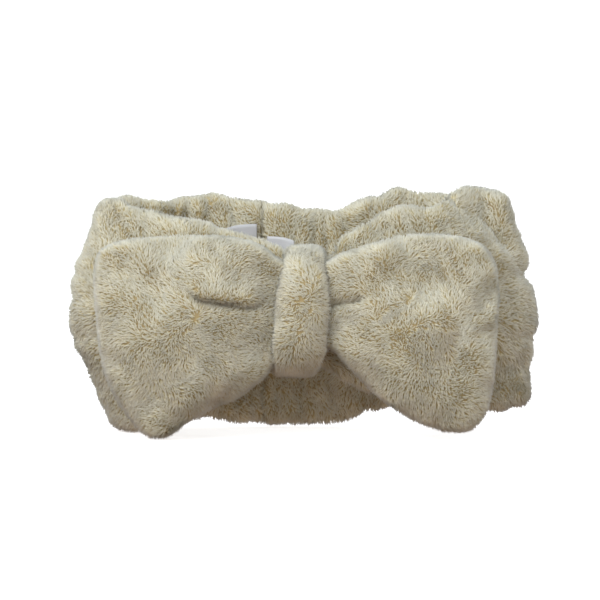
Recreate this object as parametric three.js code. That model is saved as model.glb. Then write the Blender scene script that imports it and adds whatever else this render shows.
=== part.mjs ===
// Plush spa headband with a bow, in millimetres, +Z up, standing on its lower edge as it does on a shelf.
// X runs along the flattened loop, -Y is the side that carries the bow, and the wearer's head goes through along Z.
// The cover is a fleece tube over a wadding pad in front and an elastic behind. The layers are separate solids,
// parted where the loop bends as it opens: beside the knot, at both side folds and beside the back seam.
import * as THREE from 'three';

// Driving dimensions
const loopWidth = 225; // across the flattened loop
const loopDepth = 76; // front to back through the loop, at its middle
const sideHeight = 115; // the cover at the side folds
const backHeight = 107; // the gathered back of the cover
const bandThickness = 12; // cover, filling and lining together
const fleeceThickness = 4;
const elasticThickness = 1.6;
const elasticWidth = 30;
const gap = 0.3; // between layers that touch on the real headband
const bendX = 28; // where the loop bends beside the knot and beside the back seam
const seamX = -20; // the seam that closes the cover at the back
const loopCentreY = 15; // puts the origin under the middle of the whole headband, bow included
const knotWidth = 25;
const knotHeight = 60;
const knotCentreZ = 61;
const knotBackY = -20.7;
const knotFrontY = -66;
const bowBackY = -40;
const bowFrontY = -68;

// The loop's middle line, seen from above, is an ellipse
const lineHalfWidth = (loopWidth - bandThickness) / 2;
const lineHalfDepth = (loopDepth - bandThickness) / 2;
const halfBand = bandThickness / 2;

const fleece = { color: 0xb9ae92, roughness: 0.95, metalness: 0 };
const lining = { color: 0xa69a7e, roughness: 0.95, metalness: 0 };
const wadding = { color: 0xf1efe8, roughness: 1, metalness: 0 };
const elasticWeave = { color: 0xe9e6dc, roughness: 0.8, metalness: 0 };
const satin = { color: 0xe6e6e4, roughness: 0.4, metalness: 0 };
const thread = { color: 0xd8d0ba, roughness: 0.7, metalness: 0 };

function node(name, geometry, look, parent) {
  const mesh = new THREE.Mesh(geometry, new THREE.MeshStandardMaterial(look));
  mesh.name = name;
  parent.add(mesh);
  return mesh;
}

function mix(a, b, t) {
  return a + (b - a) * t;
}

function smooth(from, to, value) {
  return THREE.MathUtils.smoothstep(value, from, to);
}

// Value at x of a line through [x, value] points
function along(points, x) {
  if (x <= points[0][0]) return points[0][1];
  for (let i = 1; i < points.length; i += 1) {
    const [x0, v0] = points[i - 1];
    const [x1, v1] = points[i];
    if (x <= x1) return mix(v0, v1, smooth(x0, x1, x));
  }
  return points[points.length - 1][1];
}

// The front of the cover is gathered to the knot's height and opens out to the side folds
const frontTop = [[13, 82], [30, 104], [50, 111], [90, sideHeight]];
const frontBottom = [[13, 40], [32, 22], [60, 13], [92, 0]];
const backTop = [[60, backHeight], [100, sideHeight]];
const rightLift = 3; // the right side fold sits a little higher than the left

// A point of the middle line at angle t from +X, moved outwards by offset
function linePoint(t, offset) {
  const x = lineHalfWidth * Math.cos(t);
  const y = lineHalfDepth * Math.sin(t);
  const normal = new THREE.Vector2(x / lineHalfWidth ** 2, y / lineHalfDepth ** 2).normalize();
  return new THREE.Vector2(x + normal.x * offset, y + normal.y * offset);
}

// The angle on the middle line at a given x, on the front (side -1) or the back (side 1)
function angleAt(x, side) {
  return side * Math.acos(x / lineHalfWidth);
}

// Gives an upright strip its varying height, and draws the side folds in towards their top and bottom corners
function shapeStrip(geometry) {
  const position = geometry.attributes.position;
  for (let i = 0; i < position.count; i += 1) {
    const x = position.getX(i);
    const y = position.getY(i);
    const height = position.getZ(i);
    const reach = Math.abs(x);
    const behind = smooth(-10, 10, y);
    const top = mix(along(frontTop, reach), along(backTop, reach), behind);
    const bottom = mix(along(frontBottom, reach), 0, behind);
    const lift = x > 0 ? rightLift * smooth(40, 90, reach) * (height + (1 - height) * (1 - behind)) : 0;
    const z = mix(bottom, top, height) + lift;
    const foldStart = 40;
    const cornerPull = 0.3 * ((height - 0.52) * 2) ** 2;
    const pulled = reach > foldStart ? foldStart + (reach - foldStart) * (1 - cornerPull) : reach;
    position.setXYZ(i, Math.sign(x) * pulled, y, z);
  }
  geometry.computeVertexNormals();
  return geometry;
}

// One upright layer between two angles of the loop, from offset inside to offset outside of the middle line.
// low and high are shares of the cover's height.
function layer(fromAngle, toAngle, inside, outside, low = 0, high = 1) {
  const length = Math.abs(toAngle - fromAngle) * (lineHalfWidth + lineHalfDepth) / 2;
  const divisions = Math.max(4, Math.round(length / 9));
  const geometry = new THREE.BoxGeometry(1, 1, 1, divisions, 1, 7);
  const position = geometry.attributes.position;
  for (let i = 0; i < position.count; i += 1) {
    const angle = mix(fromAngle, toAngle, position.getX(i) + 0.5);
    const offset = mix(outside, inside, position.getY(i) + 0.5);
    const height = mix(low, high, position.getZ(i) + 0.5);
    const point = linePoint(angle, offset);
    position.setXYZ(i, point.x, point.y, height);
  }
  return shapeStrip(geometry);
}

// An upright elastic strip in the middle of the cover's height
function elasticStrip(fromAngle, toAngle) {
  const share = elasticWidth / backHeight / 2;
  return layer(fromAngle, toAngle, -elasticThickness / 2, elasticThickness / 2, 0.5 - share, 0.5 + share);
}

const outerLayer = [halfBand - fleeceThickness, halfBand];
const innerLayer = [-halfBand, -halfBand + fleeceThickness];
const fillingLayer = [-halfBand + fleeceThickness + gap, halfBand - fleeceThickness - gap];

// Angles of the places where the layers part, and the small angle that leaves a gap there
const bendGap = gap / 2 / lineHalfWidth;
const foldGap = gap / 2 / lineHalfDepth;
const frontBend = { left: angleAt(-bendX, -1), right: angleAt(bendX, -1) };
const backBend = { left: angleAt(-bendX, 1), right: angleAt(bendX, 1) };
const backSeam = angleAt(seamX, 1);

function coverLayers(name, fromAngle, toAngle, parent) {
  node(`${name}_outer`, layer(fromAngle, toAngle, ...outerLayer), fleece, parent);
  node(`${name}_inner`, layer(fromAngle, toAngle, ...innerLayer), lining, parent);
}

// Front of the cover: a gathered middle under the knot and a padded panel out to each side fold
function frontCover(parent) {
  coverLayers('front_middle', frontBend.left + bendGap, frontBend.right - bendGap, parent);
  const middle = layer(frontBend.left + bendGap, frontBend.right - bendGap, ...fillingLayer);
  node('front_middle_wadding', middle, wadding, parent);
  coverLayers('front_left', -Math.PI + foldGap, frontBend.left - bendGap, parent);
  coverLayers('front_right', frontBend.right + bendGap, -foldGap, parent);
  const padEnd = 0.35; // the pad stops short of the side fold
  const left = layer(-Math.PI + padEnd, frontBend.left - bendGap, ...fillingLayer);
  const right = layer(frontBend.right + bendGap, -padEnd, ...fillingLayer);
  node('front_left_wadding', left, wadding, parent);
  node('front_right_wadding', right, wadding, parent);
}

// Back of the cover: gathered over the elastic and closed by one seam, with the elastic sewn in at the seam
function backCover(parent) {
  coverLayers('back_left', backBend.left + bendGap, Math.PI - foldGap, parent);
  coverLayers('back_right', foldGap, backBend.right - bendGap, parent);
  coverLayers('seam_left', backSeam + bendGap, backBend.left - bendGap, parent);
  coverLayers('seam_right', backBend.right + bendGap, backSeam - bendGap, parent);
  const elasticEnd = 0.5; // the elastic is sewn down short of the side fold
  node('elastic_left', elasticStrip(backBend.left + bendGap, Math.PI - elasticEnd), elasticWeave, parent);
  node('elastic_right', elasticStrip(elasticEnd, backBend.right - bendGap), elasticWeave, parent);
  node('elastic_seam_left', elasticStrip(backSeam + bendGap, backBend.left - bendGap), elasticWeave, parent);
  node('elastic_seam_right', elasticStrip(backBend.right + bendGap, backSeam - bendGap), elasticWeave, parent);
}

// A zigzag sewing thread that stands upright at (x, y)
function zigzagThread(x, y, lowZ, highZ) {
  const stitch = 2.5;
  const reach = 0.8;
  const points = [];
  for (let z = lowZ, side = 1; z <= highZ; z += stitch, side = -side) {
    points.push(new THREE.Vector3(x + side * reach, y, z));
  }
  const path = new THREE.CatmullRomCurve3(points);
  const section = new THREE.Shape();
  section.absarc(0, 0, 0.35, 0, Math.PI * 2);
  const steps = points.length * 2;
  return new THREE.ExtrudeGeometry(section, { steps, extrudePath: path, bevelEnabled: false, curveSegments: 3 });
}

// A satin label, folded double, whose two ends are caught in the back seam. side is the way it points from there.
function foldedLabel(name, width, height, topZ, side, tilt, parent) {
  const ply = 0.35;
  const fold = 0.5;
  const outline = new THREE.Shape();
  outline.moveTo(0, 0);
  outline.lineTo(width, 0);
  outline.absarc(width, ply + fold / 2, ply + fold / 2, -Math.PI / 2, Math.PI / 2, false);
  outline.lineTo(0, 2 * ply + fold);
  outline.lineTo(0, ply + fold);
  outline.lineTo(width, ply + fold);
  outline.absarc(width, ply + fold / 2, fold / 2, Math.PI / 2, -Math.PI / 2, true);
  outline.lineTo(0, ply);
  outline.closePath();
  const geometry = new THREE.ExtrudeGeometry(outline, { depth: height, bevelEnabled: false, curveSegments: 6 });
  geometry.translate(0.6, -ply - fold / 2, 0);
  const mesh = node(name, geometry, satin, parent);
  const root = labelRoot(side);
  mesh.position.set(root.x, root.y, topZ - height);
  mesh.rotation.z = side > 0 ? -tilt : Math.PI + tilt;
}

// Where a label leaves the seam, on the inside of the cover
function labelRoot(side) {
  const seam = linePoint(backSeam, -halfBand);
  return new THREE.Vector2(seam.x + side * 2.2, seam.y - 1.1);
}

// The bow: a padded fleece rectangle drawn together in the middle, which leaves a lobe on each side
const leftLobe = [[-14.5, 84], [-30, 95.5], [-58, 97], [-86, 94], [-97.5, 90], [-100, 62], [-92.5, 24],
  [-84, 8], [-72, 0], [-58, 4], [-45, 12.5], [-28, 22], [-14.5, 40]];
const rightLobe = [[14.5, 42], [23, 34], [43, 14.5], [58, 7.5], [74, 3.5], [84, 9], [90, 26], [95, 64],
  [89.5, 91], [80, 97], [62, 99.5], [45, 97.5], [27, 91.5], [14.5, 84]];

// One padded layer of a lobe, between two depths, with its rim rounded by edge
function lobeLayer(outlinePoints, backY, frontY, edge) {
  const points = outlinePoints.map(([x, z]) => new THREE.Vector2(x, z));
  const rim = new THREE.SplineCurve(points).getPoints(points.length * 2);
  const depth = Math.abs(frontY - backY) - 2 * edge;
  const options = { depth, steps: 1, bevelThickness: edge, bevelSize: edge, bevelOffset: -edge, bevelSegments: 2 };
  const geometry = new THREE.ExtrudeGeometry(new THREE.Shape(rim), options);
  geometry.rotateX(Math.PI / 2);
  geometry.translate(0, backY - edge, 0);
  return geometry;
}

function lobe(name, outlinePoints, parent) {
  const coverDepth = 5;
  const backEnd = bowBackY - coverDepth;
  const frontStart = bowFrontY + coverDepth + 2;
  node(`${name}_back`, lobeLayer(outlinePoints, bowBackY, backEnd, 1.8), fleece, parent);
  node(`${name}_wadding`, lobeLayer(outlinePoints, backEnd - gap, frontStart + gap, 4), wadding, parent);
  node(`${name}_front`, lobeLayer(outlinePoints, frontStart, bowFrontY, 3), fleece, parent);
}

// An upright rounded block, seen from the side, between two depths
function sideOutline(backY, frontY, lowZ, highZ, radius) {
  const outline = new THREE.Shape();
  outline.moveTo(frontY + radius, lowZ);
  outline.lineTo(backY - radius, lowZ);
  outline.absarc(backY - radius, lowZ + radius, radius, -Math.PI / 2, 0, false);
  outline.lineTo(backY, highZ - radius);
  outline.absarc(backY - radius, highZ - radius, radius, 0, Math.PI / 2, false);
  outline.lineTo(frontY + radius, highZ);
  outline.absarc(frontY + radius, highZ - radius, radius, Math.PI / 2, Math.PI, false);
  outline.lineTo(frontY, lowZ + radius);
  outline.absarc(frontY + radius, lowZ + radius, radius, Math.PI, Math.PI * 1.5, false);
  return outline;
}

// Extrudes an outline drawn in Y and Z across the width of the knot
function acrossX(outline, width, edge) {
  const options = { depth: width - 2 * edge, bevelEnabled: edge > 0, curveSegments: 4 };
  if (edge > 0) {
    Object.assign(options, { bevelThickness: edge, bevelSize: edge, bevelOffset: -edge, bevelSegments: 2 });
  }
  const geometry = new THREE.ExtrudeGeometry(outline, options);
  geometry.translate(0, 0, -options.depth / 2);
  geometry.applyMatrix4(new THREE.Matrix4().set(0, 0, 1, 0, 1, 0, 0, 0, 0, 1, 0, 0, 0, 0, 0, 1));
  return geometry;
}

// The knot: a fleece strip round the middle of the bow and of the band, closed by hand stitches behind
function knot(parent) {
  const strip = 5;
  const low = knotCentreZ - knotHeight / 2;
  const high = knotCentreZ + knotHeight / 2;
  const outline = sideOutline(knotBackY, knotFrontY, low, high, 9);
  const hole = sideOutline(knotBackY - strip, knotFrontY + strip, low + strip, high - strip, 4);
  outline.holes.push(hole);
  node('knot_strip', acrossX(outline, knotWidth, 1.5), fleece, parent);
  const bandFront = -loopDepth / 2;
  const room = gap + strip;
  const centre = sideOutline(bandFront - gap, knotFrontY + room, low + room, high - room, 4);
  node('bow_middle', acrossX(centre, knotWidth + 1, 0), fleece, parent);
  node('knot_stitches', zigzagThread(0, knotBackY + 0.7, low + 12, high - 12), thread, parent);
}

const headband = new THREE.Group();
const assembly = new THREE.Group();
assembly.position.y = loopCentreY;
headband.add(assembly);

frontCover(assembly);
backCover(assembly);
lobe('bow_left', leftLobe, assembly);
lobe('bow_right', rightLobe, assembly);
knot(assembly);
const seamInside = linePoint(backSeam, -halfBand);
node('seam_stitches', zigzagThread(seamInside.x, seamInside.y - 0.7, 4, backHeight - 4), thread, assembly);
foldedLabel('label_left', 16, 28, 98, -1, THREE.MathUtils.degToRad(28), assembly);
foldedLabel('label_right', 13.5, 26, 94, 1, THREE.MathUtils.degToRad(14), assembly);

export default headband;
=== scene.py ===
# A plush spa headband with a bow: fleece cover, bow, knot, care labels, elastic and stitches.
import math

import bmesh
import bpy
import numpy as np
from mathutils import Matrix, Vector


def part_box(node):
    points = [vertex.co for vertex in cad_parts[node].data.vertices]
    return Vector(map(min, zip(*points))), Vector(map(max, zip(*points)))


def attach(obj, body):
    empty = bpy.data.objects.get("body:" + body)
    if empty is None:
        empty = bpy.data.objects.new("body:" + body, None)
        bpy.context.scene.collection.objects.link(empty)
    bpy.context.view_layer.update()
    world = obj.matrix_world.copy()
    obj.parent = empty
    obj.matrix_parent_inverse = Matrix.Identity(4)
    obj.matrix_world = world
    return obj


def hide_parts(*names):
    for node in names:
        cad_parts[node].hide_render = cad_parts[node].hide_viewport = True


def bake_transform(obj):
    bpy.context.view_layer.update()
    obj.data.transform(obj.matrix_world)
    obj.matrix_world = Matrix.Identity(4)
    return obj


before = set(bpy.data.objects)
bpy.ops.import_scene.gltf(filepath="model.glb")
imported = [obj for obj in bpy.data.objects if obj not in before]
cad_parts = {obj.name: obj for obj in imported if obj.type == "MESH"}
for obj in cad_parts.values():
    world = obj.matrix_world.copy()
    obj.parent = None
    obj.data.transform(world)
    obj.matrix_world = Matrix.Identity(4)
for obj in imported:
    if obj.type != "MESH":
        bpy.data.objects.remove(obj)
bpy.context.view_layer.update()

MM = 0.001


# ---------------------------------------------------------------- camera, floor and light
# A long lens a little above the headband, looking straight at the bow. The floor and the sky are plain and
# pale. The floor gives no light back to the undersides, so they stay dark.
def linear(colour):
    """An sRGB hex colour as linear RGBA."""
    channels = [int(colour[i : i + 2], 16) / 255 for i in (1, 3, 5)]
    return tuple(c / 12.92 if c <= 0.04045 else ((c + 0.055) / 1.055) ** 2.4 for c in channels) + (1.0,)


def add(tree, kind, inputs=None, **settings):
    """Adds a node, sets its settings, and gives each input a value or a link."""
    node = tree.nodes.new(kind)
    for name, value in settings.items():
        setattr(node, name, value)
    for name, value in (inputs or {}).items():
        if isinstance(value, bpy.types.NodeSocket):
            tree.links.new(value, node.inputs[name])
        else:
            node.inputs[name].default_value = value
    return node


def keep(name, data):
    """A new object at the origin that holds this data."""
    thing = bpy.data.objects.new(name, data)
    bpy.context.scene.collection.objects.link(thing)
    return thing


def look_at(thing, target):
    thing.rotation_euler = (Vector(target) - thing.location).to_track_quat("-Z", "Y").to_euler()


camera_distance = 3.0
camera_height_angle = math.radians(3.0)
frame_width = 0.2866  # width of the picture at the headband
target = Vector((-0.0016, -0.02, 0.0655))
camera = keep("camera", bpy.data.cameras.new("camera"))
camera.data.sensor_width = 36.0
camera.data.lens = camera.data.sensor_width * camera_distance / frame_width
camera.data.clip_end = 200.0
camera_side = Vector((0, -math.cos(camera_height_angle), math.sin(camera_height_angle)))
camera.location = target + camera_distance * camera_side
look_at(camera, target)
bpy.context.scene.camera = camera
bpy.context.scene.view_settings.view_transform = "Standard"

floor_reach = 90.0  # far enough for its edge to meet the horizon
sheet = bmesh.new()
bmesh.ops.create_grid(sheet, x_segments=1, y_segments=1, size=floor_reach)
floor_mesh = bpy.data.meshes.new("floor")
sheet.to_mesh(floor_mesh)
sheet.free()
floor = keep("floor", floor_mesh)
floor.visible_diffuse = False
paper = bpy.data.materials.new("white_paper")
paper.use_nodes = True
paper_shader = paper.node_tree.nodes["Principled BSDF"]
paper_shader.inputs["Base Color"].default_value = linear("#f7f7f6")
paper_shader.inputs["Roughness"].default_value = 0.9
paper_shader.inputs["Emission Color"].default_value = linear("#ffffff")
paper_shader.inputs["Emission Strength"].default_value = 0.75
floor_mesh.materials.append(paper)

# white light from above the horizon and a dim brown from below it, so the undersides are warm and dark
sky = bpy.data.worlds.new("studio")
sky.use_nodes = True
sky.node_tree.nodes.clear()
direction = add(sky.node_tree, "ShaderNodeTexCoord")
upward = add(sky.node_tree, "ShaderNodeSeparateXYZ", {"Vector": direction.outputs["Generated"]})
horizon = {"From Min": -0.3, "From Max": 0.02}
height = add(sky.node_tree, "ShaderNodeMapRange", {"Value": upward.outputs["Z"], **horizon})
tone = add(sky.node_tree, "ShaderNodeMix", {"Factor": height.outputs["Result"]}, data_type="RGBA")
tone.inputs["A"].default_value = linear("#a38d7d")
tone.inputs["B"].default_value = linear("#f7fbff")
light = add(sky.node_tree, "ShaderNodeBackground", {"Color": tone.outputs["Result"], "Strength": 1.05})
add(sky.node_tree, "ShaderNodeOutputWorld", {"Surface": light.outputs["Background"]})
bpy.context.scene.world = sky

# one big soft lamp in front, above and to the left, which faces the middle of the headband
lamp = keep("lamp_left", bpy.data.lights.new("lamp_left", "AREA"))
lamp.data.size = 1.1
lamp.data.energy = 18.5
lamp.data.color = linear("#f8fcff")[:3]
lamp.location = (-0.85, -1.35, 1.1)
look_at(lamp, (0, 0, 0.06))


# ---------------------------------------------------------------- coral fleece
# Every cloth piece is the same double-sided polyester coral fleece: a knitted ground with a brushed pile of
# clumped fibres, about 4.5 mm long, that lies over in drifts. The ground is a closed mesh, and each clump is
# a small leaf-shaped spike rooted in it, coarser than a real one so that it shows.
def drift(points, size, seed, count=6):
    """A smooth random field over points, about -1 to 1, whose swells are about size across."""
    chance = np.random.default_rng(seed)
    turns = chance.normal(size=(count, 3))
    pace = (2 * np.pi / size) * chance.uniform(0.6, 1.3, (count, 1))
    turns *= pace / np.linalg.norm(turns, axis=1, keepdims=True)
    return np.sin(points @ turns.T + chance.uniform(0, 2 * np.pi, count)).sum(axis=1) / math.sqrt(count)


def unit(vectors):
    return vectors / np.maximum(np.linalg.norm(vectors, axis=-1, keepdims=True), 1e-9)


def one_clump():
    """The points and faces of a clump one unit long: a three-sided spindle, widest a third of the way up."""
    widest_at = 0.35
    spike = bmesh.new()
    bmesh.ops.create_cone(spike, cap_ends=True, segments=3, radius1=0.5, radius2=0.0, depth=1 - widest_at)
    bmesh.ops.remove_doubles(spike, verts=spike.verts, dist=1e-5)
    bmesh.ops.translate(spike, verts=spike.verts, vec=(0, 0, (1 + widest_at) / 2))
    foot = [f for f in spike.faces if all(v.co.z < widest_at + 0.05 for v in f.verts)]
    root = bmesh.ops.poke(spike, faces=foot)["verts"]
    bmesh.ops.translate(spike, verts=root, vec=(0, 0, -widest_at))
    bmesh.ops.recalc_face_normals(spike, faces=spike.faces)
    spike.verts.index_update()
    points = np.array([v.co for v in spike.verts])
    faces = [[v.index for v in f.verts] for f in spike.faces]
    spike.free()
    return points, faces


clump_points, clump_faces = one_clump()
clump_length = 4.5 * MM
clump_width = 0.78 * MM


def sow(mesh, per_square_mm, chance, thin_behind):
    """Points and normals of even random places on a mesh, fewer where it faces back, none on bare faces."""
    mesh.calc_loop_triangles()
    triangles = mesh.loop_triangles
    corners = np.empty(len(triangles) * 3, np.int32)
    triangles.foreach_get("vertices", corners)
    owners = np.empty(len(triangles), np.int32)
    triangles.foreach_get("polygon_index", owners)
    areas = np.empty(len(triangles))
    triangles.foreach_get("area", areas)
    places = np.empty(len(mesh.vertices) * 3)
    mesh.vertices.foreach_get("co", places)
    normals = np.empty(len(mesh.vertices) * 3)
    mesh.vertices.foreach_get("normal", normals)
    bare = mesh.attributes.get("bare")
    if bare:
        flags = np.empty(len(mesh.polygons), np.int32)
        bare.data.foreach_get("value", flags)
        areas = areas * (flags[owners] == 0)
    faced = np.empty(len(mesh.polygons) * 3)
    mesh.polygons.foreach_get("normal", faced)
    faces_back = faced.reshape(-1, 3)[owners, 1] > 0.45
    areas = areas * np.where(faces_back, thin_behind, 1.0)
    total = int(areas.sum() / MM**2 * per_square_mm)
    marks = (np.arange(total) + chance.uniform(0, 1, total)) / total * areas.sum()
    chosen = np.minimum(np.searchsorted(np.cumsum(areas), marks), len(areas) - 1)
    corners = corners.reshape(-1, 3)[chosen]
    a, b = chance.uniform(0, 1, (2, total))
    over = a + b > 1
    a[over], b[over] = 1 - a[over], 1 - b[over]
    weights = np.stack([1 - a - b, a, b], axis=1)[:, :, None]
    places = places.reshape(-1, 3)[corners]
    normals = normals.reshape(-1, 3)[corners]
    return (places * weights).sum(axis=1), unit((normals * weights).sum(axis=1))


def face_outwards(form):
    """Turns the faces of a closed bmesh outwards."""
    bmesh.ops.recalc_face_normals(form, faces=form.faces)
    if form.calc_volume(signed=True) < 0:
        bmesh.ops.reverse_faces(form, faces=form.faces)


def top_edge(normals):
    """1 on the top edges of a piece, about a half on its side edges, 0 on its faces and undersides."""
    return (1 - normals[:, 1] ** 2) * np.clip((normals[:, 2] + 0.5) / 1.1, 0, 1)


def brushed_from(x, z):
    """A nap brushed outwards from a middle, given in mm, in the plane of the front, with swirls in it."""
    full_at = 24 * MM
    swirl_size = 20 * MM

    def nap(roots):
        outwards = (roots - np.array([x, 0, z]) * MM) * np.array([1, 0, 1]) / full_at
        swirl_x = drift(roots, swirl_size, 16)
        swirl_z = drift(roots, swirl_size, 17)
        return outwards + 0.45 * np.stack([swirl_x, np.zeros(len(roots)), swirl_z], axis=1)

    return nap


def grow_pile(mesh, seed, nap, per_square_mm, thin_behind, length=1.0):
    """Roots clumps all over the mesh. nap gives the way they lie at each root, and they drift about it."""
    root_depth = 0.14  # share of a clump's length that is sunk in the ground
    own_share, cloth_share = 0.55, 0.45
    chance = np.random.default_rng(seed)
    roots, normals = sow(mesh, per_square_mm, chance, thin_behind)
    lie = unit(nap(roots))
    lie = lie - normals * (lie * normals).sum(axis=1, keepdims=True)
    combed = np.linalg.norm(lie, axis=1)
    lie = unit(lie + 1e-6)
    across = np.cross(lie, normals)
    turn = 0.75 * drift(roots, 34 * MM, 11) + 0.45 * drift(roots, 9 * MM, 12)
    turn = turn + chance.normal(0, 0.42, len(roots))
    lie, across = (
        lie * np.cos(turn)[:, None] + across * np.sin(turn)[:, None],
        across * np.cos(turn)[:, None] - lie * np.sin(turn)[:, None],
    )
    lean = 0.52 + 0.2 * drift(roots, 22 * MM, 13) + 0.12 * drift(roots, 6 * MM, 14)
    lean = np.clip(lean + chance.normal(0, 0.14, len(roots)), 0.15, 0.95)
    # on rims the clumps stand, because nothing combs them over
    lean = lean * (0.5 + 0.5 * combed)
    # the pile is shorter on top edges and longer where it hangs below
    on_rim = top_edge(normals)
    hanging = np.clip(-normals[:, 2], 0, 1)
    long = clump_length * length * chance.uniform(0.72, 1.22, len(roots)) * (1 - 0.2 * on_rim + 0.2 * hanging)
    wide = clump_width * chance.uniform(0.7, 1.15, len(roots))
    spin = chance.uniform(0, 2 * np.pi, len(roots))
    along = clump_points[:, 2]
    out = along[None, :] * (1.0 - 0.45 * lean[:, None] * along[None, :])
    over = lean[:, None] * along[None, :] ** 1.5
    x = clump_points[None, :, 0] * np.cos(spin)[:, None] - clump_points[None, :, 1] * np.sin(spin)[:, None]
    y = clump_points[None, :, 0] * np.sin(spin)[:, None] + clump_points[None, :, 1] * np.cos(spin)[:, None]
    rise = (out * 0.75 - root_depth) * long[:, None]
    reach = over * long[:, None]
    points = (
        roots[:, None, :]
        + normals[:, None, :] * rise[:, :, None]
        + lie[:, None, :] * (reach + y * wide[:, None])[:, :, None]
        + across[:, None, :] * (x * wide[:, None])[:, :, None]
    )
    points[..., 2] = np.maximum(points[..., 2], 0.2 * MM)  # flattened on the table
    ground_points = np.empty(len(mesh.vertices) * 3)
    mesh.vertices.foreach_get("co", ground_points)
    faces = [list(p.vertices) for p in mesh.polygons]
    first = len(mesh.vertices) + len(clump_points) * np.arange(len(roots))
    for face in clump_faces:
        faces += (np.array(face)[None, :] + first[:, None]).tolist()
    pile = bpy.data.meshes.new(mesh.name)
    pile.from_pydata(np.concatenate([ground_points.reshape(-1, 3), points.reshape(-1, 3)]), [], faces)
    pile.shade_smooth()
    # fine fibres scatter the light, so a clump is shaded partly like the cloth it stands on
    own = np.empty(len(pile.vertices) * 3)
    pile.vertices.foreach_get("normal", own)
    cloth = np.empty(len(mesh.vertices) * 3)
    mesh.vertices.foreach_get("normal", cloth)
    cloth = cloth.reshape(-1, 3)
    bare_ground = np.zeros(len(cloth))
    # painted shade: the bare ground between the clumps takes a colour close to the brown root colour
    fibre_along = np.concatenate([bare_ground + 0.15, np.tile(along, len(roots))])
    # painted highlight: on top edges the colour is moved towards the pale tip colour, as if lit from above
    painted_top_light = 0.3 * np.concatenate([top_edge(cloth), np.repeat(on_rim, len(along))])
    fibre_along = (fibre_along + (1 - fibre_along) * painted_top_light).astype(np.float32)
    cloth = np.concatenate([cloth, np.repeat(normals, len(along), axis=0)])
    shading = unit(own.reshape(-1, 3) * own_share + cloth * cloth_share)
    pile.normals_split_custom_set_from_vertices(shading)
    shade = np.clip(0.5 + 0.2 * drift(roots, 14 * MM, 15) + chance.normal(0, 0.16, len(roots)), 0, 1)
    fibre_shade = np.concatenate([bare_ground + 0.5, np.repeat(shade, len(along))]).astype(np.float32)
    pile.attributes.new("fibre_along", "FLOAT", "POINT").data.foreach_set("value", fibre_along)
    pile.attributes.new("fibre_shade", "FLOAT", "POINT").data.foreach_set("value", fibre_shade)
    return pile


def coral_fleece(name, root, middle, tip):
    """Brushed polyester: cream at the tips, with a pale bloom, and brown towards the roots and on the ground,
    which is painted shade between the clumps.
    """
    material = bpy.data.materials.new(name)
    material.use_nodes = True
    tree = material.node_tree
    tree.nodes.clear()
    place = add(tree, "ShaderNodeTexCoord")
    along = add(tree, "ShaderNodeAttribute", attribute_name="fibre_along")
    shade = add(tree, "ShaderNodeAttribute", attribute_name="fibre_shade")
    # painted shade: the ramp runs from a brown root colour, standing for the shade between the clumps, to the
    # fleece's own cream at the tips
    pile_tone_and_painted_shade = add(tree, "ShaderNodeValToRGB", {"Fac": along.outputs["Fac"]})
    pile_tone_and_painted_shade.color_ramp.elements[0].color = linear(root)
    pile_tone_and_painted_shade.color_ramp.elements[1].color = linear(tip)
    pile_tone_and_painted_shade.color_ramp.elements[1].position = 0.8
    pile_tone_and_painted_shade.color_ramp.elements.new(0.3).color = linear(middle)
    here = place.outputs["Object"]
    blotches = add(tree, "ShaderNodeTexNoise", {"Vector": here, "Scale": 45.0, "Detail": 3.0})  # 22 mm across
    spread = {"Value": blotches.outputs["Fac"], "To Min": 0.9, "To Max": 1.08}
    blotch = add(tree, "ShaderNodeMapRange", spread)
    spread = {"Value": shade.outputs["Fac"], "To Min": 0.82, "To Max": 1.08}
    clump = add(tree, "ShaderNodeMapRange", spread)
    factors = {0: blotch.outputs["Result"], 1: clump.outputs["Result"]}
    both = add(tree, "ShaderNodeMath", factors, operation="MULTIPLY")
    shaded = {0: pile_tone_and_painted_shade.outputs["Color"], "Scale": both.outputs["Value"]}
    colour = add(tree, "ShaderNodeVectorMath", shaded, operation="SCALE")
    fibre_size = 0.5 * MM  # drawn coarser than a real fibre, so that it shows
    fibres = add(tree, "ShaderNodeTexNoise", {"Vector": here, "Scale": 1 / fibre_size, "Detail": 2.0})
    bumps = {"Height": fibres.outputs["Fac"], "Strength": 0.5, "Distance": 0.3 * MM}
    relief = add(tree, "ShaderNodeBump", bumps)
    surface = add(
        tree,
        "ShaderNodeBsdfPrincipled",
        {
            "Base Color": colour.outputs["Vector"],
            "Roughness": 0.9,
            "Specular IOR Level": 0.2,
            "Sheen Weight": 0.4,
            "Sheen Roughness": 0.4,
            "Sheen Tint": linear("#e4ebf0"),
            "Normal": relief.outputs["Normal"],
        },
    )
    add(tree, "ShaderNodeOutputMaterial", {"Surface": surface.outputs["BSDF"]})
    return material


# the first colour is painted shade at the roots and on the ground; the other two are the fleece's own cream
fleece = coral_fleece("coral_fleece", "#a0804e", "#cdbf95", "#e0dcca")


# ---------------------------------------------------------------- cover of the band
# One wide tube of fleece, 110 mm high, closed behind by a seam and drawn into upright gathers by the elastic
# in it. It is flattened, so it turns sharply at both side folds. It is made here as six lengths, which meet
# away from the places where the loop bends as it opens.
band_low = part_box("front_middle_outer")[0]
back_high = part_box("seam_right_outer")[1]
fold_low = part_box("back_left_outer")[0]
loop_middle_y = (band_low.y + back_high.y) / 2 / MM
band_thickness = 12.0
line_half_width = -fold_low.x / MM - band_thickness / 2
line_half_depth = (back_high.y - band_low.y) / 2 / MM - band_thickness / 2

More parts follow.
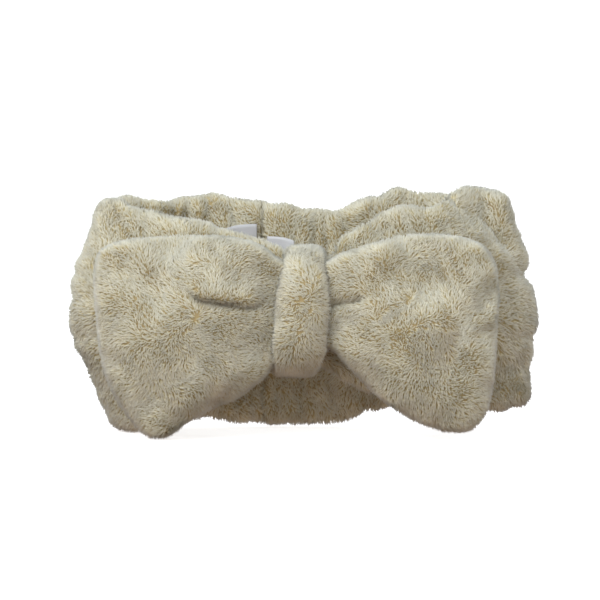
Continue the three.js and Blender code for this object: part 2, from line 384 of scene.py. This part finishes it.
# the middle line of the loop, an ellipse: share 0 of its length is the left fold, 0.25 the front's middle
line_angles = np.linspace(-np.pi, np.pi, 4001)
line_x = line_half_width * np.cos(line_angles)
line_y = line_half_depth * np.sin(line_angles)
line_run = np.concatenate([[0], np.cumsum(np.hypot(np.diff(line_x), np.diff(line_y)))])
line_length = line_run[-1]


def line_share(x, behind):
    """The share of the loop's length at x, on the front or behind."""
    angle = math.acos(x / line_half_width) * (1 if behind else -1)
    return float(np.interp(angle, line_angles, line_run) / line_length)


def on_line(share):
    """Place and outward direction on the middle line."""
    angle = np.interp(np.mod(share, 1.0) * line_length, line_run, line_angles)
    x, y = line_half_width * np.cos(angle), line_half_depth * np.sin(angle)
    out = unit(np.stack([x / line_half_width**2, y / line_half_depth**2], axis=-1))
    return x, y, out


def soft_step(low, high, value):
    t = np.clip((value - low) / (high - low), 0, 1)
    return t * t * (3 - 2 * t)


def through(knots, x):
    """Value at x of a smooth line through (x, value) knots."""
    places, values = zip(*knots)
    x = np.clip(x, places[0], places[-1])
    which = np.clip(np.searchsorted(places, x, side="right") - 1, 0, len(places) - 2)
    places, values = np.array(places, float), np.array(values, float)
    t = (x - places[which]) / (places[which + 1] - places[which])
    return values[which] + (values[which + 1] - values[which]) * t * t * (3 - 2 * t)


# height of the upper and lower edge at each x, in front and behind
front_top = [(-106, 112), (-98, 112.5), (-93, 109), (-80, 106), (-68, 104.5), (-56, 102.5), (-47, 101.5),
             (-40, 98.5), (-30, 96), (-21, 94), (-13, 90.5), (-7, 86), (13, 85), (20, 96), (31, 101),
             (39, 107), (46, 109.5), (64, 108.5), (78, 112), (84, 115), (92, 117.5), (101, 117.5),
             (106, 116.5)]
front_bottom = [(-106, 4), (-92, 3), (-85, 2.5), (-70, 6), (-45, 15), (-30, 24), (-13, 36), (7, 36), (13, 33),
                (20, 28.5), (31, 22.5), (41, 18.5), (55, 16.5), (70, 16), (86, 14), (98, 13), (106, 14)]
back_top = [(-106, 112), (-92, 111), (-75, 110), (-60, 112), (-47, 113), (-33, 112), (-24, 110), (-10, 107),
            (0, 105), (12, 105), (24, 108), (34, 112), (46, 115), (58, 114), (75, 112.5), (88, 114),
            (97, 117), (106, 116.5)]
back_bottom = [(-106, 4), (-92, 4), (-80, 3), (-60, 6), (-49, 7), (-43, 5.6), (-25, 4.5), (-12, 2.4),
               (0, 2.8), (10, 3.4), (17, 5.5), (25, 7), (32, 10), (39, 11.5), (60, 13), (90, 13), (106, 14)]
# how far the folds reach out at each height, left and right
left_reach = [(0, 90), (8, 94), (20, 98.5), (30, 102.5), (37, 105), (43, 109), (53, 112), (59, 112),
              (65, 110), (71, 110.8), (78, 110), (88, 105.5), (94, 102.5), (100, 100), (110, 98.5), (118, 97)]
right_reach = [(8, 105), (14, 107.5), (20, 108.5), (30, 109.5), (37, 111), (43, 110), (55, 112), (62, 112),
               (68, 110.5), (76, 107.5), (84, 107.5), (94, 104), (102, 100.5), (110, 98), (118, 93)]
right_slope = [(62, 114), (70, 111), (91, 99), (102, 86), (106, 74)]  # where the right front slopes down
right_dimple = [(103, 34), (104, 34)]
gathers = [-88, -77, -66, -57, -46, -34, -8, 3, 13, 25, 34, 46, 55, 67, 79, 90]  # x of the folds behind
seam_x = -20
channel = (46, 76)  # height of the elastic's edges
elastic_middle = sum(channel) / 2


def groove(distance, width, depth):
    return depth * np.exp(-((distance / width) ** 2))


def near_path(places, path):
    """Distance in X and Z from each place to a line through points, all in mm."""
    best = np.full(len(places), 1e9)
    flat = places[:, [0, 2]]
    for a, b in zip(np.array(path[:-1], float), np.array(path[1:], float)):
        t = np.clip(((flat - a) @ (b - a)) / ((b - a) @ (b - a)), 0, 1)
        best = np.minimum(best, np.linalg.norm(flat - a - t[:, None] * (b - a), axis=1))
    return best


def slab_section(round_share, tall, thick):
    """Depth and height about the middle of a round-edged slab, walked evenly from its outside middle up."""
    straight = tall - thick
    walk = round_share * (2 * straight + np.pi * thick)
    half_turn = np.pi * thick / 2
    legs = [straight / 2, half_turn, straight, half_turn]
    ends = np.cumsum(legs, axis=0)
    up = walk < ends[0]
    over_top = (walk >= ends[0]) & (walk < ends[1])
    down = (walk >= ends[1]) & (walk < ends[2])
    under = (walk >= ends[2]) & (walk < ends[3])
    turn = np.where(over_top, (walk - ends[0]) / (thick / 2), (walk - ends[2]) / (thick / 2) + np.pi)
    curved = over_top | under
    offset = np.where(up | (walk >= ends[3]), thick / 2, -thick / 2)
    offset = np.where(curved, np.cos(turn) * thick / 2, offset)
    level = np.where(up, walk, np.where(down, straight / 2 - (walk - ends[1]), walk - ends[3] - straight / 2))
    level = np.where(over_top, straight / 2 + np.sin(turn) * thick / 2, level)
    level = np.where(under, -straight / 2 + np.sin(turn) * thick / 2, level)
    return offset, level


def gather_dents(x, z, wander):
    """How deep the gathers over the elastic are, deepest at its height."""
    dent = np.zeros_like(x)
    reach = 0.55 + groove(z - elastic_middle, 30, 0.45)
    for number, place in enumerate(gathers):
        depth = 2.2 + 1.8 * math.sin(number * 2.1) ** 2
        leaning = 0.1 * math.sin(number * 5.0) * (z - 60)
        dent = dent + groove(x + wander + leaning - place, 2.4, depth) * reach
    return dent


def draw_in(x, z, thick):
    """Draws the side folds in towards their corners. The middle of the loop keeps its width."""
    kept_width = 40
    furthest = np.where(x < 0, through(left_reach, z), through(right_reach, z)) - kept_width
    pull = furthest / (line_half_width + thick / 2 - kept_width)
    reach = np.abs(x)
    return np.sign(x) * np.where(reach > kept_width, kept_width + (reach - kept_width) * pull, reach)


def shape_band(share, round_share):
    """Points of the cover in mm: share runs round the loop, round_share round the tube from outside up."""
    lowest = 2.2  # room for the pile between the ground and the table
    x, y, out = on_line(share)
    behind = soft_step(-12, 12, y)
    top = through(front_top, x) * (1 - behind) + through(back_top, x) * behind
    bottom = through(front_bottom, x) * (1 - behind) + through(back_bottom, x) * behind
    near_knot = (1 - soft_step(14, 50, np.abs(x))) * (1 - behind)
    thick = 10.5 - 2.0 * near_knot
    tall = top - bottom
    offset, level = slab_section(round_share, tall, thick)
    z = (top + bottom) / 2 + level
    side = np.sign(offset + 1e-9) * soft_step(0, thick / 2, np.abs(offset))
    # gathers on the back and round the side folds, and a crease along each edge of the elastic
    around = np.stack([x, y, z], axis=-1)
    gathered = soft_step(-30, 20, y)
    wander = 2.0 * drift(around, 60.0, 21)
    dent = gather_dents(x, z, wander) * gathered
    at_folds = soft_step(88, 108, np.abs(x)) + behind * 0.5
    at_folds = np.minimum(at_folds, 1) * np.where(x < 0, 0.6, 1.0) * (0.75 + 0.35 * drift(around, 40.0, 24))
    for edge in channel:
        dent = dent + groove(z - edge + 0.5 * wander, 3.2, 2.4) * at_folds
    # the right front slopes down to its fold, and the corner behind the slope sits further back
    above = (z - through(right_slope, x)) * soft_step(60, 68, x)
    hollow = groove(near_path(around, right_slope), 2.6, 3.5)
    set_back = 6.5 * soft_step(0, 6, above) * (1 - behind) * (1 - soft_step(97, 106, x))
    dimple = groove(near_path(around, right_dimple), 5.0, 2.4)
    dent = dent + (hollow + dimple) * (1 - behind)
    # the seam behind is pulled in most beside the labels, and the whole cover is a little uneven
    seam_depth = 1.3 + groove(z - 90, 9, 3.2)
    dent = dent + groove(x - seam_x + 0.4 * wander, 1.7, seam_depth) * behind
    dent = dent - 0.9 * drift(around, 26.0, 22) * (1 - near_knot)
    # pleats that fan out from the knot
    fan = np.sin(9 * np.arctan2(z - elastic_middle, np.abs(x) + 14) + 1.3)
    dent = dent + 1.6 * fan * near_knot
    # the two layers never meet
    deepest = thick / 2 - 1.3
    dent = np.where(dent > 0, deepest * np.tanh(dent / deepest), dent)
    offset = offset - side * dent
    offset = offset - set_back
    x, y = x + out[..., 0] * offset, y + out[..., 1] * offset
    x = draw_in(x, z, thick)
    edge_wave = 0.9 * drift(np.stack([x, y, 0 * z], axis=-1), 17.0, 23)
    z = z + edge_wave * soft_step(0.25, 0.5, np.abs(level) / tall) * (0.4 + gathered)
    return np.stack([x, y + loop_middle_y, np.maximum(z, lowest)], axis=-1) * MM


def brushed_up_and_down(roots):
    """The nap of the band: up above its middle, down below it, and a little towards the side folds."""
    nap_parts_at = 62
    return (roots - np.array([0, 0, nap_parts_at]) * MM) * np.array([0.15, 0, 1])


def band_length(name, start, end, seed):
    """One length of the cover between two shares of the loop, with its ends closed and its pile grown."""
    round_steps = 96
    step_length = 2.0  # mm along the loop
    tube = bmesh.new()
    upright = Matrix.Translation((1, 0, 0)) @ Matrix.Rotation(np.pi / 2, 4, "X")
    placed = Matrix.Rotation(2 * np.pi * start, 4, "Z") @ upright
    bmesh.ops.create_circle(tube, cap_ends=False, radius=0.25, segments=round_steps, matrix=placed)
    steps = max(4, round((end - start) * line_length / step_length))
    turn = 2 * np.pi * (end - start)
    ring = tube.verts[:] + tube.edges[:]
    bmesh.ops.spin(tube, geom=ring, axis=(0, 0, 1), cent=(0, 0, 0), angle=turn, steps=steps)
    bare = tube.faces.layers.int.new("bare")
    rims = [e for e in tube.edges if e.is_boundary]
    for cap in bmesh.ops.holes_fill(tube, edges=rims, sides=0)["faces"]:
        cap[bare] = 1
    places = np.array([v.co for v in tube.verts])
    share = np.arctan2(places[:, 1], places[:, 0]) / (2 * np.pi)
    share = start + np.mod(share - start + 1e-6, 1.0) - 1e-6
    around = np.arctan2(places[:, 2], np.hypot(places[:, 0], places[:, 1]) - 1) / (2 * np.pi)
    around = np.mod(around + 1e-6, 1.0) - 1e-6
    for vertex, place in zip(tube.verts, shape_band(share, np.maximum(around, 0))):
        vertex.co = place
    face_outwards(tube)
    ground = bpy.data.meshes.new(name)
    tube.to_mesh(ground)
    tube.free()
    pile = grow_pile(ground, seed, brushed_up_and_down, per_square_mm=1.85, thin_behind=0.65)
    cover = keep(name, pile)
    cover.data.materials.append(fleece)
    return cover


# where the lengths meet, well away from every bend
shares = {
    "front_left": line_share(-81, False),
    "front_middle": line_share(0, False),
    "front_right": line_share(81, False),
    "back_right": line_share(61, True),
    "seam": line_share(seam_x, True),
    "back_left": line_share(-76, True),
}
cover_front_left = band_length("cover_front_left", shares["front_left"], shares["front_middle"], 1)
cover_front_right = band_length("cover_front_right", shares["front_middle"], shares["front_right"], 2)
cover_fold_right = band_length("cover_fold_right", shares["front_right"], shares["back_right"], 3)
cover_back_right = band_length("cover_back_right", shares["back_right"], shares["seam"], 4)
cover_back_left = band_length("cover_back_left", shares["seam"], shares["back_left"], 5)
cover_fold_left = band_length("cover_fold_left", shares["back_left"] - 1, shares["front_left"], 6)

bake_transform(cover_front_left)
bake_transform(cover_front_right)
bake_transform(cover_fold_left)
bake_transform(cover_fold_right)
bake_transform(cover_back_right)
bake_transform(cover_back_left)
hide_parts("front_middle_outer", "front_middle_inner", "front_middle_wadding")
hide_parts("front_left_outer", "front_left_inner", "front_left_wadding")
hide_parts("front_right_outer", "front_right_inner", "front_right_wadding")
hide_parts("back_right_outer", "back_right_inner", "seam_right_outer", "seam_right_inner")
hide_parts("back_left_outer", "back_left_inner", "seam_left_outer", "seam_left_inner")


# ---------------------------------------------------------------- bow
# A padded fleece rectangle gathered in its middle, so that each half fans out into a plump lobe with a thick
# rounded rim. Each lobe is blown up a little as cloth, held at the knot, and then given its folds.
left_outline = [(-5, 80), (-14, 85), (-19, 90.5), (-30, 94.5), (-42, 96), (-60, 96), (-77, 95), (-88, 93.5),
                (-96, 90), (-99, 80), (-98, 62), (-96, 44), (-90.5, 25), (-83, 12), (-76, 4.5), (-71, 2.5),
                (-64, 4), (-57, 8), (-45, 14), (-30, 22.5), (-19, 32), (-12, 40), (-5, 42)]
right_outline = [(5, 42), (12, 46), (22, 37), (32, 26.5), (43, 17), (57, 9.5), (67, 6), (75, 5), (82, 8),
                 (86.5, 15), (89.5, 27), (92, 45), (93, 64), (91, 80), (87.5, 90), (80, 94.5), (65, 97),
                 (49, 96), (33, 91.5), (18, 87), (11, 83), (5, 80)]
bow_back_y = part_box("bow_left_back")[1].y
bow_front_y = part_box("bow_left_front")[0].y


def blow_up(form, pinned_x, pressure, most):
    """Swells a closed cloth form with a cloth simulation, held near the knot, by at most this much."""
    frames = 20
    rest = np.array([v.co for v in form.data.vertices])
    held = form.vertex_groups.new(name="held")
    held.add([i for i, p in enumerate(rest) if abs(p[0]) < pinned_x], 1.0, "REPLACE")
    cloth = form.modifiers.new("cloth", "CLOTH")
    cloth.settings.quality = 6
    cloth.settings.mass = 0.2
    cloth.settings.vertex_group_mass = "held"
    cloth.settings.use_pressure = True
    cloth.settings.uniform_pressure_force = pressure
    cloth.settings.tension_stiffness = cloth.settings.compression_stiffness = 12
    cloth.settings.bending_stiffness = 0.8
    cloth.settings.effector_weights.gravity = 0
    cloth.collision_settings.use_self_collision = False
    cloth.point_cache.frame_start = 1
    cloth.point_cache.frame_end = frames
    for number in range(1, frames + 1):
        bpy.context.scene.frame_set(number)
    swollen = form.evaluated_get(bpy.context.evaluated_depsgraph_get()).to_mesh()
    moved = np.array([v.co for v in swollen.vertices]) - rest
    form.modifiers.remove(cloth)
    bpy.context.scene.frame_set(1)
    far = np.linalg.norm(moved, axis=1, keepdims=True)
    moved *= np.minimum(1, most / np.maximum(far, 1e-9))
    form.data.vertices.foreach_set("co", (rest + moved).ravel())
    form.data.update()


def finish_modifiers(form):
    """Replaces the object's mesh by the one that its modifiers make."""
    made = bpy.data.meshes.new_from_object(form.evaluated_get(bpy.context.evaluated_depsgraph_get()))
    form.modifiers.clear()
    form.data = made


def smooth_ring(points):
    """A closed smooth curve through points, with two more points in each gap."""
    ring = []
    after, later, before = (np.roll(points, -k, axis=0) for k in (1, 2, -1))
    for p0, p1, p2, p3 in zip(before, points, after, later):
        bend = 2 * p0 - 5 * p1 + 4 * p2 - p3
        twist = 3 * p1 - p0 - 3 * p2 + p3
        for t in (0.0, 0.33, 0.67):
            ring.append(0.5 * (2 * p1 + (p2 - p0) * t + bend * t**2 + twist * t**3))
    return ring


def bow_lobe(name, outline, folds, seed):
    """A lobe from its outline: a flat bag, remeshed, blown up, folded and covered with pile."""
    room_behind = 5 * MM  # left for the swelling and the pile
    room_in_front = 8 * MM
    bag = bmesh.new()
    points = np.array(outline, float)
    bag_back = bow_back_y - room_behind
    face = bag.faces.new([bag.verts.new((q[0] * MM, bag_back, q[1] * MM)) for q in smooth_ring(points)])
    raised = bmesh.ops.extrude_face_region(bag, geom=[face])["geom"]
    front_rim = [g for g in raised if isinstance(g, bmesh.types.BMVert)]
    deep = bow_front_y - bow_back_y + (room_behind + room_in_front)
    bmesh.ops.translate(bag, verts=front_rim, vec=(0, deep, 0))
    bmesh.ops.recalc_face_normals(bag, faces=bag.faces)
    form = keep(name, bpy.data.meshes.new(name))
    bag.to_mesh(form.data)
    bag.free()
    blocks = form.modifiers.new("blocks", "REMESH")
    blocks.mode = "VOXEL"
    blocks.voxel_size = 3.2 * MM
    finish_modifiers(form)
    blow_up(form, pinned_x=16 * MM, pressure=4.0, most=9 * MM)
    finer = form.modifiers.new("finer", "SUBSURF")
    finer.levels = finer.render_levels = 1
    finish_modifiers(form)
    places = np.array([v.co for v in form.data.vertices]) / MM
    folds(places)
    form.data.vertices.foreach_set("co", (places * MM).ravel())
    form.data.update()
    middle = points.mean(axis=0)
    nap = brushed_from(*middle)
    form.data = grow_pile(form.data, seed, nap, per_square_mm=2.4, thin_behind=0.3)
    form.data.materials.clear()
    form.data.materials.append(fleece)
    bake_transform(form)
    return form


def press(places, path, width, depth):
    """Pushes the front of a lobe in along a path."""
    front = soft_step(-30, -40, places[:, 1])
    places[:, 1] += front * groove(near_path(places, path), width, depth)


def fold_left(places):
    press(places, [(-86, 84), (-76, 77)], 9.0, 4.0)
    press(places, [(-61, 94), (-63, 80), (-68, 68)], 8.0, 3.4)
    # a crease from the knot, where the upper half hangs over the lower one
    x, y, z = places.T
    above = z - through([(-54, 72), (-48, 69), (-38, 67.5), (-24, 66)], x)
    at_crease = soft_step(-56, -50, x) * (1 - soft_step(-28, -18, x)) * soft_step(-30, -40, y)
    bulge = 4.0 * soft_step(-0.5, 1.5, above) * np.exp(-np.maximum(above, 0) / 9)
    places[:, 1] += at_crease * (groove(above + 2.0, 2.2, 3.0) - bulge)
    places[:, 2] -= at_crease * 2.0 * groove(above - 1.5, 3.0, 1.0)


def fold_right(places):
    press(places, [(52, 97), (55, 85), (58, 74)], 11.0, 8.0)
    press(places, [(76, 54), (70, 38)], 9.0, 3.0)
    press(places, [(34, 75), (42, 78)], 7.0, 2.2)
    press(places, [(14, 64.5), (27, 66.5)], 2.2, 4.0)


bow_left = bow_lobe("bow_left", left_outline, fold_left, 21)
bow_right = bow_lobe("bow_right", right_outline, fold_right, 22)
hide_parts("bow_left_front", "bow_left_wadding", "bow_left_back")
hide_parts("bow_right_front", "bow_right_wadding", "bow_right_back")


# ---------------------------------------------------------------- knot
# A strip of the same fleece, 25 mm wide, wrapped round the middle of the bow and of the band and sewn behind.
# It is pulled tight, so its front bulges above and below one crease.
knot_low, knot_high = (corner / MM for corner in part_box("knot_strip"))
strip_half_thickness = 2.6
strip_half_width = [(-30, 9.5), (-15, 11.4), (4, 11.6), (30, 8.2)]  # at each height about the knot's middle
strip_shift = [(-30, -4), (-15, -1.8), (0, -0.6), (30, 0.6)]  # how far it leans sideways


def shape_knot(share, round_share):
    """Points of the strip in mm: share runs round the strip's loop, round_share round its own section."""
    angle = 2 * np.pi * share
    middle_y = (knot_low.y + knot_high.y) / 2
    middle_z = (knot_low.z + knot_high.z) / 2
    half_y = (knot_high.y - knot_low.y) / 2 - strip_half_thickness
    half_z = (knot_high.z - knot_low.z) / 2 - strip_half_thickness
    bend = 0.74  # below 1, so the loop is squarer than an ellipse
    y = -half_y * np.sign(np.cos(angle)) * np.abs(np.cos(angle)) ** bend
    z = half_z * np.sign(np.sin(angle)) * np.abs(np.sin(angle)) ** bend
    out = unit(np.stack([y / half_y**2, z / half_z**2], axis=-1))
    turn = 2 * np.pi * round_share
    half_width = through(strip_half_width, z)
    across = np.sign(np.cos(turn)) * np.abs(np.cos(turn)) ** 0.7 * half_width
    thick = strip_half_thickness * np.sign(np.sin(turn)) * np.abs(np.sin(turn)) ** 0.8
    # in front the strip is crowned, with a crease above its middle and a bulge below
    front = soft_step(0.2, 0.8, np.cos(angle))
    outside = np.sin(turn) > 0
    crown = 2.2 * (1 - (across / half_width) ** 2) * outside
    crease = groove(z - 5, 3.5, 0.9)
    thick = thick + front * (crown - crease * outside + 1.6 * groove(z + 12, 10.0, 1.0))
    y, z = y + out[..., 0] * thick, z + out[..., 1] * thick
    x = across + through(strip_shift, z)
    return np.stack([x, y + middle_y, z + middle_z], axis=-1) * MM


strip = bmesh.new()
section = Matrix.Translation((1, 0, 0)) @ Matrix.Rotation(np.pi / 2, 4, "X")
bmesh.ops.create_circle(strip, cap_ends=False, radius=0.25, segments=28, matrix=section)
ring = strip.verts[:] + strip.edges[:]
bmesh.ops.spin(strip, geom=ring, axis=(0, 0, 1), cent=(0, 0, 0), angle=2 * np.pi, steps=84, use_merge=True)
bmesh.ops.remove_doubles(strip, verts=strip.verts, dist=1e-5)
turned = np.array([v.co for v in strip.verts])
strip_share = np.arctan2(turned[:, 1], turned[:, 0]) / (2 * np.pi)
strip_around = np.arctan2(np.hypot(turned[:, 0], turned[:, 1]) - 1, turned[:, 2]) / (2 * np.pi)
for vertex, place in zip(strip.verts, shape_knot(strip_share, strip_around)):
    vertex.co = place
face_outwards(strip)
strip_mesh = bpy.data.meshes.new("knot")
strip.to_mesh(strip_mesh)
strip.free()
knot_nap = brushed_from(0, 76)
knot = keep("knot", grow_pile(strip_mesh, 31, knot_nap, per_square_mm=2.4, thin_behind=0.5, length=0.9))
knot.data.materials.append(fleece)
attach(knot, "front_middle")
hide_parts("knot_strip", "bow_middle")


# ---------------------------------------------------------------- labels
# Two blank care labels of white satin ribbon, each folded over into a loop, with both its ends caught in the
# seam behind. They stand inside the loop of the band, close to its back.
def satin():
    """White polyester satin: smooth, with a soft shine along its fine ribs."""
    material = bpy.data.materials.new("satin_ribbon")
    material.use_nodes = True
    tree = material.node_tree
    tree.nodes.clear()
    place = add(tree, "ShaderNodeTexCoord")
    rib_width = 0.35 * MM
    pattern = {"Vector": place.outputs["Object"], "Scale": 0.5 / rib_width}
    ribs = add(tree, "ShaderNodeTexWave", pattern, bands_direction="Z")
    bumps = {"Height": ribs.outputs["Fac"], "Strength": 0.25, "Distance": 0.05 * MM}
    relief = add(tree, "ShaderNodeBump", bumps)
    surface = add(
        tree,
        "ShaderNodeBsdfPrincipled",
        {
            "Base Color": linear("#c9c9cb"),
            "Roughness": 0.38,
            "Sheen Weight": 0.2,
            "Normal": relief.outputs["Normal"],
        },
    )
    add(tree, "ShaderNodeOutputMaterial", {"Surface": surface.outputs["BSDF"]})
    return material


ribbon_satin = satin()
ribbon_thickness = 0.3 * MM


def folded_label(name, seam_end, loop_end, low, high, curl):
    """A ribbon that runs from the seam out to its fold and back. Ends are (x, y) and heights z, all in mm."""
    ribbon = bmesh.new()
    bmesh.ops.create_grid(ribbon, x_segments=48, y_segments=18, size=0.5)
    start, end = np.array(seam_end), np.array(loop_end)
    run = end - start
    length = np.linalg.norm(run)
    side = np.array([-run[1], run[0]]) / length
    for vertex in ribbon.verts:
        along, up = vertex.co.x * 2, vertex.co.y + 0.5
        out = 1 - abs(along) ** 1.25
        gap = 0.22 + 0.3 * math.sin(math.pi * min(abs(along), 1)) ** 0.8
        leaf = math.copysign(1, along) * gap * (0.5 + 0.5 * up)
        height = low + (high - low) * up
        lean = curl * up**2 * (0.3 + 0.7 * out)
        wave = 1.1 * math.sin(4 * up + 2.5 * out) * out
        place = start + run * out + side * (leaf + wave * out)
        vertex.co = Vector((place[0], place[1] + lean, height - 2.2 * out**3 * up)) * MM
    bmesh.ops.recalc_face_normals(ribbon, faces=ribbon.faces)
    bmesh.ops.solidify(ribbon, geom=ribbon.faces[:], thickness=ribbon_thickness)
    face_outwards(ribbon)
    label = keep(f"care_{name}", bpy.data.meshes.new(f"care_{name}"))
    ribbon.to_mesh(label.data)
    ribbon.free()
    label.data.shade_smooth()
    label.data.materials.append(ribbon_satin)
    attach(label, name)
    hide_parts(name)


folded_label("label_left", seam_end=(-22.6, 38.6), loop_end=(-38.2, 31.6), low=70, high=99.5, curl=-1.0)
folded_label("label_right", seam_end=(-17.6, 38.8), loop_end=(-4.4, 35.2), low=68, high=93.5, curl=-0.6)


# ---------------------------------------------------------------- elastic
# A flat woven elastic, 30 mm wide, runs inside the back of the cover from fold to fold and is joined at the
# seam. It is shorter than the cloth round it, and that gathers the cloth.
def woven_elastic():
    """Cream polyester elastic with ribs along it."""
    material = bpy.data.materials.new("woven_elastic")
    material.use_nodes = True
    tree = material.node_tree
    tree.nodes.clear()
    place = add(tree, "ShaderNodeTexCoord")
    rib_width = 1.2 * MM
    pattern = {"Vector": place.outputs["Object"], "Scale": 0.5 / rib_width}
    ribs = add(tree, "ShaderNodeTexWave", pattern, bands_direction="Z")
    bumps = {"Height": ribs.outputs["Fac"], "Strength": 0.6, "Distance": 0.2 * MM}
    relief = add(tree, "ShaderNodeBump", bumps)
    surface = add(
        tree,
        "ShaderNodeBsdfPrincipled",
        {"Base Color": linear("#e8e3d6"), "Roughness": 0.8, "Normal": relief.outputs["Normal"]},
    )
    add(tree, "ShaderNodeOutputMaterial", {"Surface": surface.outputs["BSDF"]})
    return material


elastic_weave = woven_elastic()
elastic_thickness = 1.2 * MM


def elastic_strip(name, start, end):
    """A length of the elastic between two shares of the loop."""
    strip = bmesh.new()
    bmesh.ops.create_grid(strip, x_segments=40, y_segments=6, size=0.5)
    places = np.array([v.co for v in strip.verts])
    x, y, out = on_line(start + (places[:, 0] + 0.5) * (end - start))
    tape_width = channel[1] - channel[0]
    height = channel[0] + (places[:, 1] + 0.5) * tape_width
    for vertex, place in zip(strip.verts, np.stack([x, y + loop_middle_y, height], axis=-1)):
        vertex.co = place * MM
    bmesh.ops.solidify(strip, geom=strip.faces[:], thickness=elastic_thickness)
    face_outwards(strip)
    tape = keep(name, bpy.data.meshes.new(name))
    strip.to_mesh(tape.data)
    strip.free()
    tape.data.materials.append(elastic_weave)
    return tape


tape_end_x = 93
join_gap = 0.0005  # share of the loop on each side of the seam
elastic_left = elastic_strip("elastic_tape_left", line_share(-tape_end_x, True), shares["seam"] + join_gap)
elastic_right = elastic_strip("elastic_tape_right", shares["seam"] - join_gap, line_share(tape_end_x, True))
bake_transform(elastic_left)
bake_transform(elastic_right)
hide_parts("elastic_left", "elastic_seam_left")
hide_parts("elastic_right", "elastic_seam_right")


# ---------------------------------------------------------------- stitches
# Zigzag stitches in beige polyester thread close the back seam and the back of the knot, deep in the pile.
thread = bpy.data.materials.new("polyester_thread")
thread.use_nodes = True
thread_shader = thread.node_tree.nodes["Principled BSDF"]
thread_shader.inputs["Base Color"].default_value = linear("#cbbd9b")
thread_shader.inputs["Roughness"].default_value = 0.55
stitch_step = 2.4
stitch_size = (0.28 * MM, 0.28 * MM, 1.5 * MM, 1)  # half its width, half its depth and half its length
stitch_slant = math.radians(35)


def stitch_row(name, foot, top, body, node):
    """Slanting stitches from foot to top, both (x, y, z) in mm."""
    row = bmesh.new()
    count = int((top[2] - foot[2]) / stitch_step)
    for number in range(count):
        share = (number + 0.5) / count
        middle = [MM * (a + (b - a) * share) for a, b in zip(foot, top)]
        slant = stitch_slant * (1 if number % 2 else -1)
        lie = Matrix.Translation(middle) @ Matrix.Rotation(slant, 4, "Y") @ Matrix.Diagonal(stitch_size)
        bmesh.ops.create_icosphere(row, subdivisions=1, radius=1.0, matrix=lie)
    stitches = keep(name, bpy.data.meshes.new(name))
    row.to_mesh(stitches.data)
    row.free()
    stitches.data.shade_smooth()
    stitches.data.materials.append(thread)
    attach(stitches, body)
    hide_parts(node)


stitch_row("seam_thread", (seam_x, 44.0, 5), (seam_x, 44.0, 101), "seam_right", "seam_stitches")
stitch_row("knot_thread", (-1, -5.2, 44), (-1, -5.2, 77), "front_middle", "knot_stitches")
